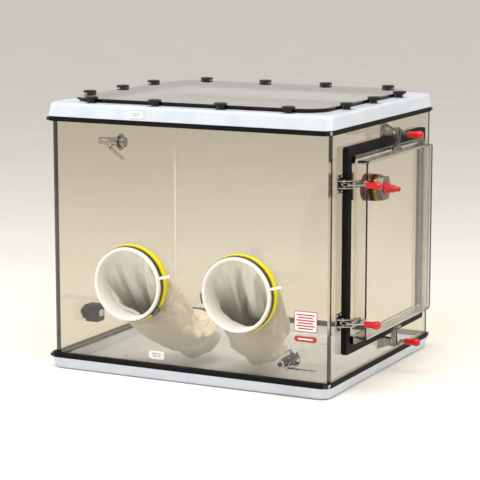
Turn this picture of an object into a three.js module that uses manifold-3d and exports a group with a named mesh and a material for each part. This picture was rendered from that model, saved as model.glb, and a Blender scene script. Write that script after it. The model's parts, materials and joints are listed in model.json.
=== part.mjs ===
// Laboratory glove box: a clear acrylic chamber between a white formed tray and a white formed
// cover with a knob-fastened hatch, two glove ports, and a clamped, hinged door in the right end.
//
// Millimetres, +Z up, +X to the right of the user, +Y away from the user. The origin is the
// middle of the tray's underside.

import * as THREE from 'three';
import { mergeVertices } from 'three/addons/utils/BufferGeometryUtils.js';
import Module from 'manifold-3d';

const wasm = await Module();
wasm.setup();

// ---------------------------------------------------------------- driving dimensions

const GAP = 0.3; // clearance left between pieces that touch

const tray = { width: 820, depth: 700, height: 30, corner: 24, draft: 5, edge: 11, floor: 5, rim: 28 };
const chamber = { width: 800, depth: 664, height: 622, wall: 9.5, rightMargin: 6 };
const seal = { height: 12.5, skin: 1.9, inset: 1, lip: 1.5, flangeCorner: 3 };
const cover = { height: 37, draft: 4, edge: 9, sheet: 5 };

const hatch = { width: 700, depth: 592, corner: 55, overlap: 16, sheet: 5.7 };
const trim = { rise: 5, drop: 11, flange: 9, wall: 3 };
const knob = {
  headRadius: 17.5, stemRadius: 8.8, headHeight: 6.5, standOff: 11, alongFront: 189, alongSide: 175,
};

const port = { radius: 95, wall: 4.4, spacing: 317, rise: 208.5, reach: 36, inside: 12 };
const collar = { lap: 7, width: 13 };
const cuff = { wall: 2, width: 22 };
const band = { thickness: 1.6, width: 12, screwRadius: 5, screwLength: 26, screwAngle: [-40, 190] };
const gauntlet = { wall: 2.5, drift: [100, -60], restHeight: 34 };

const door = { width: 478, height: 480, centreY: -1, lift: 11.5, corner: 10, sheet: 8 };
const pod = { depth: 30, wall: 6, inset: 12.5, hingeInset: 19, corner: 12 };
const frame = { margin: 24, lap: 9, depth: 16, corner: 8 };
const hinge = { endGap: 10, leaf: 1.6, reach: 18.5, barrel: 3.9, pin: 1.6, offset: 4.5, knuckles: 5 };

const clamp = {
  set: 17.5, fromEnd: 65, baseLength: 34, baseWidth: 46, plate: 2.5, cheek: 2.4, cheekAt: 7.6,
  armPlate: 2.4, armAt: 4.6, armHalf: 5, bar: 4, linkPlate: 1.7, linkAt: 2.5, linkHalf: 4.2,
  linkTail: 5.5, linkBridge: 3.2,
  pin: 2.6, armPivot: [6, 34], handlePivot: [-4, 42], linkPivot: [-2.1, 14], linkLength: 14.1,
  armHeight: 38, crank: [8, 60], gripStart: 69, gripEnd: 112, gripRadius: 8, gripBulb: 10.5,
  screwInset: 5.6, screwRadius: 3, screwTop: 20, tipRadius: 5, tipHeight: 7,
};

const valve = {
  bore: 8.5, rosette: 24, hex: 17, hexHeight: 10, body: 12, bodyLength: 30, end: 10.5, length: 68,
  nut: 15, nutHeight: 9, stem: 6, stemAt: 31, leverDrop: 17, lever: 84, leverWidth: 13, leverSheet: 3.2,
};
const frontValve = { fromRight: 104, rise: 53.5 };
const sideValve = { y: 14, fromTop: 93.5, leverTilt: 30 };

const fitting = { fromFront: 65, fromTop: 84, bore: 11, gasket: 35, ring: 34, hex: 33, length: 65 };
const outlet = { fromFront: 156, rise: 80.5, depth: 39, width: 38, height: 48, gland: 14, glandReach: 18 };

// ---------------------------------------------------------------- derived levels and faces

const sealLow = tray.height + GAP;
const wallLow = tray.height + seal.height;
const wallHigh = wallLow + chamber.height;
const coverLow = wallHigh + seal.height;
const coverTop = coverLow + cover.height;
const hatchLow = coverTop + trim.rise + GAP;
const hatchTop = hatchLow + hatch.sheet;

const wallRight = tray.width / 2 - chamber.rightMargin;
const wallLeft = wallRight - chamber.width;
const wallFront = -chamber.depth / 2;
const wallBack = chamber.depth / 2;
const chamberMiddle = (wallLeft + wallRight) / 2;
const portZ = wallLow + port.rise;
const portBore = port.radius - port.wall;
const doorCentreZ = (wallLow + wallHigh) / 2 + door.lift;
const frameFace = wallRight + frame.depth;
const doorFace = frameFace + door.sheet;
const [frontValveX, frontValveZ] = [wallRight - frontValve.fromRight, wallLow + frontValve.rise];
const sideValveZ = wallHigh - sideValve.fromTop;
const [outletY, outletZ] = [wallFront + outlet.fromFront, wallLow + outlet.rise];

// ---------------------------------------------------------------- geometry helpers

// Turns a closed geometry so that its faces point outward.
function outward(geometry) {
  const p = geometry.getAttribute('position');
  const index = geometry.getIndex();
  let volume = 0;
  const [a, b, c] = [new THREE.Vector3(), new THREE.Vector3(), new THREE.Vector3()];
  for (let i = 0; i < index.count; i += 3) {
    a.fromBufferAttribute(p, index.getX(i));
    b.fromBufferAttribute(p, index.getX(i + 1));
    c.fromBufferAttribute(p, index.getX(i + 2));
    volume += a.dot(b.cross(c));
  }
  if (volume < 0) {
    const flipped = Array.from(index.array);
    for (let i = 0; i < flipped.length; i += 3) [flipped[i], flipped[i + 1]] = [flipped[i + 1], flipped[i]];
    geometry.setIndex(flipped);
  }
  return geometry;
}

// Keeps only merged positions, which is what a solid needs.
function bare(geometry) {
  const plain = geometry.index ? geometry.toNonIndexed() : geometry.clone();
  for (const name of Object.keys(plain.attributes)) if (name !== 'position') plain.deleteAttribute(name);
  return outward(mergeVertices(plain, 1e-4));
}

function toSolid(geometry) {
  const plain = bare(geometry);
  return new wasm.Manifold(new wasm.Mesh({
    numProp: 3,
    vertProperties: new Float32Array(plain.getAttribute('position').array),
    triVerts: new Uint32Array(plain.getIndex().array),
  }));
}

function toGeometry(solid) {
  const mesh = solid.getMesh();
  const geometry = new THREE.BufferGeometry();
  geometry.setAttribute('position', new THREE.BufferAttribute(new Float32Array(mesh.vertProperties), 3));
  geometry.setIndex(Array.from(mesh.triVerts));
  return geometry;
}

const join = (...parts) => toGeometry(parts.map(toSolid).reduce((whole, part) => whole.add(part)));
const cut = (whole, ...tools) => toGeometry(
  tools.map(toSolid).reduce((rest, tool) => rest.subtract(tool), toSolid(whole)));

// A skin over a list of rings with the same number of points. An open list gets a cap at each
// end; a closed one runs round a hole and needs none.
function loft(rings, closed = false) {
  const n = rings[0].length;
  const positions = rings.flat().flatMap((v) => [v.x, v.y, v.z]);
  const index = [];
  const bands = closed ? rings.length : rings.length - 1;
  for (let k = 0; k < bands; k += 1) {
    const next = (k + 1) % rings.length;
    for (let i = 0; i < n; i += 1) {
      const j = (i + 1) % n;
      index.push(k * n + i, k * n + j, next * n + j, k * n + i, next * n + j, next * n + i);
    }
  }
  if (!closed) {
    for (const [ring, flip] of [[0, true], [rings.length - 1, false]]) {
      const middle = rings[ring].reduce((sum, v) => sum.add(v), new THREE.Vector3()).divideScalar(n);
      const centre = positions.length / 3;
      positions.push(middle.x, middle.y, middle.z);
      for (let i = 0; i < n; i += 1) {
        const edge = [ring * n + i, ring * n + ((i + 1) % n)];
        if (flip) edge.reverse();
        index.push(edge[0], edge[1], centre);
      }
    }
  }
  const geometry = new THREE.BufferGeometry();
  geometry.setAttribute('position', new THREE.Float32BufferAttribute(positions, 3));
  geometry.setIndex(index);
  return outward(geometry);
}

// Corner points of a rounded rectangle about a centre, counted counter-clockwise.
function roundedOutline(width, height, radius, centre = [0, 0], steps = 5) {
  const r = Math.min(radius, width / 2 - 0.1, height / 2 - 0.1);
  const points = [];
  for (const [sx, sy, turn] of [[1, 1, 0], [-1, 1, 1], [-1, -1, 2], [1, -1, 3]]) {
    for (let k = 0; k <= steps; k += 1) {
      const a = (turn + k / steps) * Math.PI / 2;
      points.push([centre[0] + sx * (width / 2 - r) + r * Math.cos(a),
        centre[1] + sy * (height / 2 - r) + r * Math.sin(a)]);
    }
  }
  return points;
}

// One ring lying flat at a height, and one standing up at an X position.
const level = (width, depth, radius, z, centre) => roundedOutline(width, depth, radius, centre)
  .map(([x, y]) => new THREE.Vector3(x, y, z));
const upright = (width, height, radius, x, centre) => roundedOutline(width, height, radius, centre)
  .map(([y, z]) => new THREE.Vector3(x, y, z));

// A body turned about an axis, from [radius, height] pairs; the axis is Z unless it is moved.
function turned(profile, segments = 24) {
  const lathe = new THREE.LatheGeometry(profile.map(([r, h]) => new THREE.Vector2(r, h)), segments);
  return bare(lathe.rotateX(Math.PI / 2));
}

const rod = (radius, low, high, segments = 20) => turned(
  [[0, low], [radius, low], [radius, high], [0, high]], segments);

function slab(x0, x1, y0, y1, z0, z1) {
  const geometry = new THREE.BoxGeometry(x1 - x0, y1 - y0, z1 - z0);
  return geometry.translate((x0 + x1) / 2, (y0 + y1) / 2, (z0 + z1) / 2);
}

// A flat plate cut from an outline, with holes, standing from 0 to its thickness along Z.
function plate(outline, thickness, holes = []) {
  const shape = new THREE.Shape(outline.map(([x, y]) => new THREE.Vector2(x, y)));
  for (const hole of holes) shape.holes.push(new THREE.Path(hole.map(([x, y]) => new THREE.Vector2(x, y))));
  return new THREE.ExtrudeGeometry(shape, { depth: thickness, bevelEnabled: false });
}

const rectangle = (x0, x1, y0, y1) => [[x0, y0], [x1, y0], [x1, y1], [x0, y1]];
const circle = (x, y, radius, segments = 32) => Array.from({ length: segments }, (_, k) => {
  const a = (k / segments) * 2 * Math.PI;
  return [x + radius * Math.cos(a), y + radius * Math.sin(a)];
});

// ---------------------------------------------------------------- materials

const finish = (color, roughness, metalness = 0, opacity = 1) => new THREE.MeshStandardMaterial({
  color, roughness, metalness, opacity, transparent: opacity < 1,
});
const acrylic = finish(0xd8d2bf, 0.05, 0, 0.35);
const whitePlastic = finish(0xeef0f2, 0.4);
const blackRubber = finish(0x0b0b0b, 0.6);
const blackPlastic = finish(0x121212, 0.45);
const steel = finish(0xc9c8c4, 0.2, 1);
const redVinyl = finish(0xc81e1e, 0.35);
const creamRubber = finish(0xe6dfd0, 0.7);
const yellowPlastic = finish(0xf2e000, 0.4);

const gloveBox = new THREE.Group();

function addPart(name, geometry, material, parent = gloveBox) {
  const mesh = new THREE.Mesh(bare(geometry), material);
  mesh.name = name;
  parent.add(mesh);
  return mesh;
}

// ---------------------------------------------------------------- base tray and top cover

// The tray is one formed pan: rounded lower edge, sides that lean out, a flat rim, and a floor.
function trayBody() {
  const side = (inset, z) => level(tray.width - 2 * inset, tray.depth - 2 * inset, tray.corner, z);
  const under = [];
  for (let k = 0; k <= 3; k += 1) {
    const a = (k / 3) * Math.PI / 2;
    under.push(side(tray.draft + tray.edge * (1 - Math.sin(a)), tray.edge * (1 - Math.cos(a))));
  }
  return loft([...under, side(0, tray.height), side(tray.rim, tray.height), side(tray.rim + 2, tray.floor)]);
}
addPart('base_tray', trayBody(), whitePlastic);

// The cover is a formed sheet: a skirt with a rounded shoulder, a flat top, and a lip turned down
// all round the hatch opening.
function coverBody() {
  const side = (inset, z) => level(tray.width - 2 * inset, tray.depth - 2 * inset, tray.corner, z);
  const mouth = (grow, z) => level(hatch.width + 2 * grow, hatch.depth + 2 * grow, hatch.corner + grow, z);
  const shoulder = [];
  for (let k = 0; k <= 3; k += 1) {
    const a = (k / 3) * Math.PI / 2;
    shoulder.push(side(cover.draft + cover.edge * (1 - Math.cos(a)), coverTop - cover.edge * (1 - Math.sin(a))));
  }
  const low = coverLow + GAP;
  const inner = coverTop - cover.sheet;
  return loft([
    side(0, low), ...shoulder, mouth(0, coverTop), mouth(0, low), mouth(cover.sheet, low),
    mouth(cover.sheet, inner), side(cover.draft + cover.edge, inner), side(cover.sheet, low),
  ], true);
}
addPart('top_cover', coverBody(), whitePlastic);

// ---------------------------------------------------------------- flanges and edge seals

// A clear flange runs round each open end of the chamber. A black channel seal wraps its edge and
// leaves only the flange's corners bare.
const flangeInset = seal.inset + seal.lip;
const flangeRing = (grow, low, high) => {
  const outer = (z) => level(tray.width - 2 * (flangeInset - grow), tray.depth - 2 * (flangeInset - grow),
    seal.flangeCorner, z);
  const inner = (z) => level(tray.width - 2 * (tray.rim + grow), tray.depth - 2 * (tray.rim + grow), 8, z);
  return loft([outer(low), outer(high), inner(high), inner(low)], true);
};
function sealRing(low) {
  const outer = (z) => level(tray.width - 2 * seal.inset, tray.depth - 2 * seal.inset, tray.corner, z);
  const inner = (z) => level(chamber.width + 2 * GAP, chamber.depth + 2 * GAP, 1, z, [chamberMiddle, 0]);
  const high = low + seal.height - GAP;
  const channel = flangeRing(GAP, low + seal.skin - GAP, high - seal.skin + GAP);
  return cut(loft([outer(low), outer(high), inner(high), inner(low)], true), channel);
}
addPart('base_seal', sealRing(sealLow), blackRubber);
addPart('base_flange', flangeRing(0, sealLow + seal.skin, wallLow - seal.skin), acrylic);
addPart('top_seal', sealRing(wallHigh + GAP), blackRubber);
addPart('top_flange', flangeRing(0, wallHigh + GAP + seal.skin, coverLow - seal.skin), acrylic);

// ---------------------------------------------------------------- chamber walls

const wallFoot = wallLow - seal.skin + GAP;
const wallHead = wallHigh + seal.skin;
const portCentres = [-port.spacing / 2, port.spacing / 2];

function frontPanel() {
  const holes = [...portCentres.map((x) => circle(x, portZ, port.radius + GAP, 40)),
    circle(frontValveX, frontValveZ, valve.bore + GAP, 20)];
  const flat = plate(rectangle(wallLeft, wallRight, wallFoot, wallHead), chamber.wall, holes);
  return flat.rotateX(Math.PI / 2).translate(0, wallFront + chamber.wall, 0);
}
addPart('front_panel', frontPanel(), acrylic);
addPart('back_panel', slab(wallLeft, wallRight, wallBack - chamber.wall, wallBack, wallFoot, wallHead), acrylic);

// Panels in a side wall are drawn with Y to the right and Z up, then stood up facing +X.
const standUp = (geometry, x) => geometry.applyMatrix4(new THREE.Matrix4().set(
  0, 0, 1, x, 1, 0, 0, 0, 0, 1, 0, 0, 0, 0, 0, 1));
const sideOutline = rectangle(wallFront + chamber.wall + GAP, wallBack - chamber.wall - GAP, wallFoot, wallHead);

const leftHoles = [circle(sideValve.y, sideValveZ, valve.bore + GAP, 20),
  circle(outletY, outletZ, outlet.gland + GAP, 20)];
addPart('left_panel', standUp(plate(sideOutline, chamber.wall, leftHoles), wallLeft), acrylic);

const doorCentre = [door.centreY, doorCentreZ];
const mouthWidth = door.width - 2 * frame.lap;
const mouthHeight = door.height - 2 * frame.lap;
const doorway = roundedOutline(mouthWidth, mouthHeight, frame.corner, doorCentre);
addPart('right_panel', standUp(plate(sideOutline, chamber.wall, [doorway]), wallRight - chamber.wall), acrylic);

// ---------------------------------------------------------------- hatch in the cover

function hatchTrim() {
  const ring = (grow, z) => level(hatch.width + 2 * grow, hatch.depth + 2 * grow, hatch.corner + grow, z);
  const seat = coverTop + GAP;
  const top = coverTop + trim.rise;
  const foot = coverTop - trim.drop;
  return loft([ring(trim.flange, seat), ring(trim.flange, top), ring(-trim.wall, top), ring(-trim.wall, foot),
    ring(-GAP, foot), ring(-GAP, seat)], true);
}
addPart('hatch_trim', hatchTrim(), blackRubber);

const hatchWidth = hatch.width + 2 * hatch.overlap;
const hatchDepth = hatch.depth + 2 * hatch.overlap;
const hatchRing = (z) => level(hatchWidth, hatchDepth, hatch.corner + hatch.overlap, z);
addPart('hatch_panel', loft([hatchRing(hatchLow), hatchRing(hatchTop)]), acrylic);

// Each knob screws down on a stud just outside the panel, and its head laps the panel's edge.
const knobProfile = [[0, coverTop + GAP], [knob.stemRadius, coverTop + GAP], [knob.stemRadius, hatchTop + GAP],
  [knob.headRadius, hatchTop + GAP], [knob.headRadius, hatchTop + GAP + knob.headHeight - 1.5],
  [knob.headRadius - 2.5, hatchTop + GAP + knob.headHeight], [0, hatchTop + GAP + knob.headHeight]];
const knobX = hatchWidth / 2 + knob.standOff;
const knobY = hatchDepth / 2 + knob.standOff;
const knobPlaces = [
  ...[-1.5, -0.5, 0.5, 1.5].map((k) => [k * knob.alongFront, -knobY]),
  ...[-1, 0, 1].map((k) => [knobX, k * knob.alongSide]),
  ...[1.5, 0.5, -0.5, -1.5].map((k) => [k * knob.alongFront, knobY]),
  ...[1, 0, -1].map((k) => [-knobX, k * knob.alongSide]),
];
knobPlaces.forEach(([x, y], k) => {
  const mesh = addPart(`hatch_knob_${String(k + 1).padStart(2, '0')}`, turned(knobProfile, 18), blackPlastic);
  mesh.position.set(x, y, 0);
});

// ---------------------------------------------------------------- glove ports

// Lathe bodies about the port's own axis, which runs along Y.
const aboutY = (profile, segments = 40) => bare(new THREE.LatheGeometry(
  profile.map(([r, y]) => new THREE.Vector2(r, y)), segments));

const rimY = wallFront - port.reach;
const cuffIn = port.radius + GAP;
const cuffOut = cuffIn + cuff.wall;
const liningOut = portBore - GAP;

function portRing() {
  const face = wallFront - GAP;
  const collarFace = face - collar.width;
  const front = rimY + cuff.wall + GAP;
  const back = wallFront + chamber.wall + port.inside;
  return aboutY([[portBore, back], [port.radius, back], [port.radius, face], [port.radius + collar.lap, face],
    [port.radius + collar.lap, collarFace], [port.radius, collarFace], [port.radius, front], [portBore, front],
    [portBore, back]]);
}

// The gauntlet's cuff folds back over the ring; its sleeve runs in through the ring, droops to the
// tray's floor and trails behind. Each row: share of the sideways drift, distance behind the wall,
// share of the drop from the port to the floor, half width and half thickness as shares of the
// sleeve's radius, and tilt in degrees.
function gauntletBody(drift) {
  const sleeve = [
    [0, 23, 0, 1, 1, 0],
    [0.05, 50, 0.05, 0.97, 0.88, 18],
    [0.15, 76, 0.23, 0.93, 0.66, 45],
    [0.30, 98, 0.48, 0.89, 0.49, 62],
    [0.50, 124, 0.74, 0.84, 0.42, 60],
    [0.62, 150, 0.91, 0.80, 0.38, 40],
    [0.80, 200, 0.975, 0.71, 0.30, 5],
    [0.95, 262, 0.99, 0.58, 0.25, 0],
    [1.00, 300, 1.005, 0.40, 0.19, 0],
  ];
  const drop = portZ - gauntlet.restHeight;
  const ring = (x, y, z, a, b, tilt) => {
    const t = THREE.MathUtils.degToRad(tilt);
    return Array.from({ length: 40 }, (_, k) => {
      const p = (k / 40) * 2 * Math.PI;
      return new THREE.Vector3(x + a * Math.cos(p), y + b * Math.sin(p) * Math.sin(t),
        z + b * Math.sin(p) * Math.cos(t));
    });
  };
  const round = (radius, y) => ring(0, y, portZ, radius, radius, 0);
  const skin = (shrink) => sleeve.map(([shift, back, fall, a, b, tilt]) => ring(
    shift * drift, wallFront + back, portZ - fall * drop, a * liningOut - shrink, b * liningOut - shrink, tilt));
  const outer = skin(0);
  const inner = skin(gauntlet.wall);
  const tipShift = new THREE.Vector3(0, -gauntlet.wall, 0);
  inner[inner.length - 1].forEach((v) => v.add(tipShift));
  return loft([
    ...outer.reverse(),
    round(liningOut, rimY + cuff.wall), round(cuffIn, rimY + cuff.wall), round(cuffIn, rimY + cuff.width),
    round(cuffOut, rimY + cuff.width), round(cuffOut, rimY), round(liningOut - gauntlet.wall, rimY), ...inner,
  ]);
}

// The band clamp is a strap round the cuff, with its screw housing turned to the given angle.
function bandClamp(angle) {
  const low = rimY + cuff.width - band.width - 1;
  const inner = cuffOut + GAP;
  const outer = inner + band.thickness;
  const high = low + band.width;
  const strap = aboutY([[inner, low], [outer, low], [outer, high], [inner, high], [inner, low]]);
  const screw = rod(band.screwRadius, -band.screwLength / 2, band.screwLength / 2, 12);
  screw.translate(outer + band.screwRadius - 1, low + band.width / 2, 0);
  screw.rotateY(THREE.MathUtils.degToRad(-angle));
  return join(strap, screw);
}

portCentres.forEach((x, k) => {
  const side = k === 0 ? 'left' : 'right';
  addPart(`port_ring_${side}`, portRing(), yellowPlastic).position.set(x, 0, portZ);
  addPart(`band_clamp_${side}`, bandClamp(band.screwAngle[k]), steel).position.set(x, 0, portZ);
  addPart(`gauntlet_${side}`, gauntletBody(gauntlet.drift[k]), creamRubber).position.set(x, 0, 0);
});

// ---------------------------------------------------------------- door, frame and hinge

const frameX = [wallRight + GAP, frameFace - GAP];
const frameRing = (grow, x) => upright(
  door.width + 2 * grow, door.height + 2 * grow, frame.corner, x, doorCentre);
addPart('door_frame', loft([frameRing(frame.margin, frameX[0]), frameRing(frame.margin, frameX[1]),
  frameRing(-frame.lap, frameX[1]), frameRing(-frame.lap, frameX[0])], true), blackRubber);

// The door is a flat flange with a five-sided box raised from it, and a hole for the hose fitting.
const podSize = [door.width - pod.inset - pod.hingeInset, door.height - 2 * pod.inset];
const podCentre = [door.centreY - (pod.hingeInset - pod.inset) / 2, doorCentreZ];
const podFace = doorFace + pod.depth;
const fittingY = door.centreY - door.width / 2 + fitting.fromFront;
const fittingZ = doorCentreZ + door.height / 2 - fitting.fromTop;

function doorShell() {
  const flange = (x) => upright(door.width, door.height, door.corner, x, doorCentre);
  const pocket = (x) => upright(
    podSize[0] - 2 * pod.wall, podSize[1] - 2 * pod.wall, pod.corner - pod.wall, x, podCentre);
  const box = (x) => upright(podSize[0], podSize[1], pod.corner, x, podCentre);
  const shell = loft([pocket(podFace - pod.wall), pocket(frameFace), flange(frameFace), flange(doorFace),
    box(doorFace), box(podFace)]);
  const drill = rod(fitting.bore + GAP, -pod.wall, 2 * pod.wall).rotateY(Math.PI / 2);
  return cut(shell, drill.translate(podFace - pod.wall, fittingY, fittingZ));
}
addPart('door_shell', doorShell(), acrylic);

// A piano hinge: a leaf on the frame, a leaf on the door's flange, and barrels that alternate
// along one pin. The pin's axis lies just beyond the door's rear edge.
const pinY = door.centreY + door.width / 2 + hinge.offset;
const frameLeafX = frameFace + GAP;
const doorLeafX = doorFace + GAP;
const pinX = (frameLeafX + doorLeafX + hinge.leaf) / 2;
const hingeLength = door.height - 2 * hinge.endGap;
const hingeLow = doorCentreZ - hingeLength / 2;

function hingeLeaf(x, y0, y1, first) {
  const pitch = hingeLength / hinge.knuckles;
  const leaf = slab(x, x + hinge.leaf, Math.min(y0, y1), Math.max(y0, y1), hingeLow, hingeLow + hingeLength);
  const barrels = [];
  const notches = [];
  for (let k = 0; k < hinge.knuckles; k += 1) {
    const low = hingeLow + k * pitch;
    if (k % 2 === first) barrels.push(rod(hinge.barrel, low + GAP, low + pitch - GAP, 16).translate(pinX, pinY, 0));
    else notches.push(rod(hinge.barrel + GAP, low - GAP, low + pitch + GAP, 16).translate(pinX, pinY, 0));
  }
  const bore = rod(hinge.pin + GAP, hingeLow - 1, hingeLow + hingeLength + 1, 16).translate(pinX, pinY, 0);
  return cut(join(cut(leaf, ...notches), ...barrels), bore);
}
addPart('hinge_frame_leaf', hingeLeaf(frameLeafX, pinY, pinY + hinge.reach, 0), steel);
addPart('hinge_door_leaf', hingeLeaf(doorLeafX, pinY - hinge.reach - 1.5, pinY, 1), steel);
addPart('hinge_pin', rod(hinge.pin, hingeLow, hingeLow + hingeLength, 12).translate(pinX, pinY, 0), steel);

// ---------------------------------------------------------------- hose fitting in the door

// Lathe bodies whose axis runs out of the door along +X.
const alongX = (profile, segments) => turned(profile, segments).rotateY(Math.PI / 2);

function hoseFitting() {
  const inner = -pod.wall - GAP;
  const back = -pod.depth + 2;
  const stack = alongX([[0, back], [fitting.gasket, back], [fitting.gasket, inner], [fitting.bore, inner],
    [fitting.bore, GAP], [fitting.ring, GAP], [fitting.ring, 13], [0, 13]], 28);
  const hexNut = rod(fitting.hex, 10, 28, 6).rotateY(Math.PI / 2);
  return join(stack, hexNut);
}
function hoseNozzle() {
  const tip = fitting.length;
  const root = 28 + GAP;
  const profile = [[0, root], [18, root], [11, root + 11], [9.8, root + 11], [9.8, root + 22], [7.4, root + 24],
    [7.4, root + 27], [6.2, root + 29], [6.2, tip - 1], [5, tip], [3, tip], [3, tip - 18], [0, tip - 18]];
  return alongX(profile, 20);
}
addPart('hose_fitting', hoseFitting(), steel).position.set(podFace, fittingY, fittingZ);
addPart('hose_nozzle', hoseNozzle(), redVinyl).position.set(podFace, fittingY, fittingZ);

// ---------------------------------------------------------------- toggle clamps

// Each clamp is drawn in its own frame: x along the arm towards the door, z out from the wall,
// y along the pivots. Side views are drawn in x and z and given a thickness along y.
function sideView(outline, low, high, holes = []) {
  return plate(outline, high - low, holes).applyMatrix4(new THREE.Matrix4().set(
    1, 0, 0, 0, 0, 0, -1, high, 0, 1, 0, 0, 0, 0, 0, 1));
}
const pair = (outline, near, thick, holes) => [1, -1].map((side) => sideView(
  outline, side > 0 ? near : -near - thick, side > 0 ? near + thick : -near, holes));
const crossRod = ([x, z], radius, low, high) => rod(radius, low, high, 14)
  .rotateX(Math.PI / 2).translate(x, 0, z);
const crossPin = (place, radius, half) => crossRod(place, radius, -half, half);

// A strip with round ends between two points, as seen from the side.
function strip([x0, z0], [x1, z1], half, steps = 6) {
  const along = Math.atan2(z1 - z0, x1 - x0);
  const points = [];
  for (const [x, z, start] of [[x1, z1, along - Math.PI / 2], [x0, z0, along + Math.PI / 2]]) {
    for (let k = 0; k <= steps; k += 1) {
      const a = start + (k / steps) * Math.PI;
      points.push([x + half * Math.cos(a), z + half * Math.sin(a)]);
    }
  }
  return points;
}

const armTip = clamp.set + frame.margin + clamp.screwInset;
const seat = frame.depth + door.sheet + GAP;
const pinHole = (place) => circle(place[0], place[1], clamp.pin + GAP, 14);

// The link turns on two short rivets, so the handle's lower end can pass between them.
function clampBase() {
  const half = clamp.baseLength / 2;
  const foot = slab(-half, half, -clamp.baseWidth / 2, clamp.baseWidth / 2, GAP, clamp.plate);
  const cheek = [[-half + 3, clamp.plate - 1], [half - 3, clamp.plate - 1], [half - 4, 24],
    [clamp.armPivot[0] + 6, clamp.armPivot[1] + 2], [clamp.armPivot[0], clamp.armPivot[1] + 6],
    [clamp.armPivot[0] - 6, clamp.armPivot[1] + 2], [-half + 7, 18], [-half + 3, 8]];
  return join(foot, ...pair(cheek, clamp.cheekAt, clamp.cheek),
    crossPin(clamp.armPivot, clamp.pin, clamp.cheekAt + 1),
    crossRod(clamp.linkPivot, clamp.pin, clamp.linkAt, clamp.cheekAt + 1),
    crossRod(clamp.linkPivot, clamp.pin, -clamp.cheekAt - 1, -clamp.linkAt));
}

function clampArm() {
  const outline = strip(clamp.handlePivot, [armTip - 1, clamp.armHeight], clamp.armHalf);
  outline.push([clamp.armPivot[0] - 5, clamp.armPivot[1] - 2], [clamp.armPivot[0], clamp.armPivot[1] - 5.5],
    [clamp.armPivot[0] + 5, clamp.armPivot[1] - 2.5]);
  const plates = pair(outline, clamp.armAt, clamp.armPlate, [pinHole(clamp.armPivot)]);
  const reach = clamp.armAt + 1;
  const bridge = slab(armTip - 6, armTip + 4, -reach, reach, clamp.armHeight - 2.5, clamp.armHeight + 2.5);
  const spindle = turned([[0, seat], [clamp.tipRadius, seat], [clamp.tipRadius, seat + clamp.tipHeight],
    [clamp.screwRadius, seat + clamp.tipHeight], [clamp.screwRadius, seat + clamp.screwTop + 12],
    [0, seat + clamp.screwTop + 12]], 14).translate(armTip, 0, 0);
  return join(...plates, bridge, spindle, crossPin(clamp.handlePivot, clamp.pin, clamp.armAt + 1));
}

function clampHandle() {
  const low = [clamp.handlePivot[0], clamp.handlePivot[1] - clamp.linkLength];
  const side = clamp.bar / 2;
  const lower = sideView(strip(low, clamp.handlePivot, clamp.linkHalf), -side, side);
  const heel = [clamp.handlePivot[0] + 2.5, clamp.handlePivot[1] + 6];
  const crank = sideView(strip(heel, clamp.crank, 4.4), -side, side);
  const bar = sideView(strip(clamp.crank, [clamp.crank[0], clamp.gripStart + 6], 4.2), -side, side);
  const grip = turned([[0, clamp.gripStart], [clamp.gripRadius - 1, clamp.gripStart],
    [clamp.gripRadius, clamp.gripStart + 2], [clamp.gripRadius, clamp.gripEnd - 26],
    [clamp.gripBulb, clamp.gripEnd - 13], [clamp.gripBulb, clamp.gripEnd - 7],
    [clamp.gripBulb - 4, clamp.gripEnd - 1],
    [0, clamp.gripEnd]], 16).translate(clamp.crank[0], 0, 0);
  const eye = crossPin(clamp.handlePivot, clamp.armHalf, side);
  return cut(join(lower, eye, crank, bar, grip), crossPin(clamp.handlePivot, clamp.pin + GAP, clamp.bar));
}

// The link's two cheeks are bridged behind its pivot, on the side the handle never reaches.
function clampLink() {
  const top = [clamp.handlePivot[0], clamp.handlePivot[1] - clamp.linkLength];
  const run = [clamp.linkPivot[0] - top[0], clamp.linkPivot[1] - top[1]];
  const share = clamp.linkTail / Math.hypot(...run);
  const tail = [clamp.linkPivot[0] + run[0] * share, clamp.linkPivot[1] + run[1] * share];
  const cheeks = pair(strip(tail, top, clamp.linkHalf), clamp.linkAt, clamp.linkPlate);
  const bridge = crossPin(tail, clamp.linkBridge, clamp.linkAt + 1);
  return cut(join(...cheeks, bridge), crossPin(clamp.linkPivot, clamp.pin + GAP, clamp.cheekAt));
}

// Two clamps stand at the door's free edge, one above the door and one below it.
const freeEdge = door.centreY - door.width / 2 - frame.margin - clamp.set;
const topEdge = doorCentreZ + door.height / 2 + frame.margin + clamp.set;
const lowEdge = doorCentreZ - door.height / 2 - frame.margin - clamp.set;
const [X, Y, Z] = [new THREE.Vector3(1, 0, 0), new THREE.Vector3(0, 1, 0), new THREE.Vector3(0, 0, 1)];
const clampPlaces = [
  { name: 'front_upper', along: Y, at: [freeEdge, doorCentreZ + door.height / 2 - clamp.fromEnd] },
  { name: 'front_lower', along: Y, at: [freeEdge, doorCentreZ - door.height / 2 + clamp.fromEnd] },
  { name: 'top', along: Z.clone().negate(), at: [door.centreY, topEdge] },
  { name: 'bottom', along: Z, at: [door.centreY, lowEdge] },
];
for (const place of clampPlaces) {
  const group = new THREE.Group();
  const across = new THREE.Vector3().crossVectors(X, place.along);
  group.quaternion.setFromRotationMatrix(new THREE.Matrix4().makeBasis(place.along, across, X));
  group.position.set(wallRight, ...place.at);
  addPart(`clamp_${place.name}_base`, clampBase(), steel, group);
  addPart(`clamp_${place.name}_arm`, clampArm(), steel, group);
  addPart(`clamp_${place.name}_handle`, clampHandle(), redVinyl, group);
  addPart(`clamp_${place.name}_link`, clampLink(), steel, group);
  gloveBox.add(group);
}

// ---------------------------------------------------------------- gas valves

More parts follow.
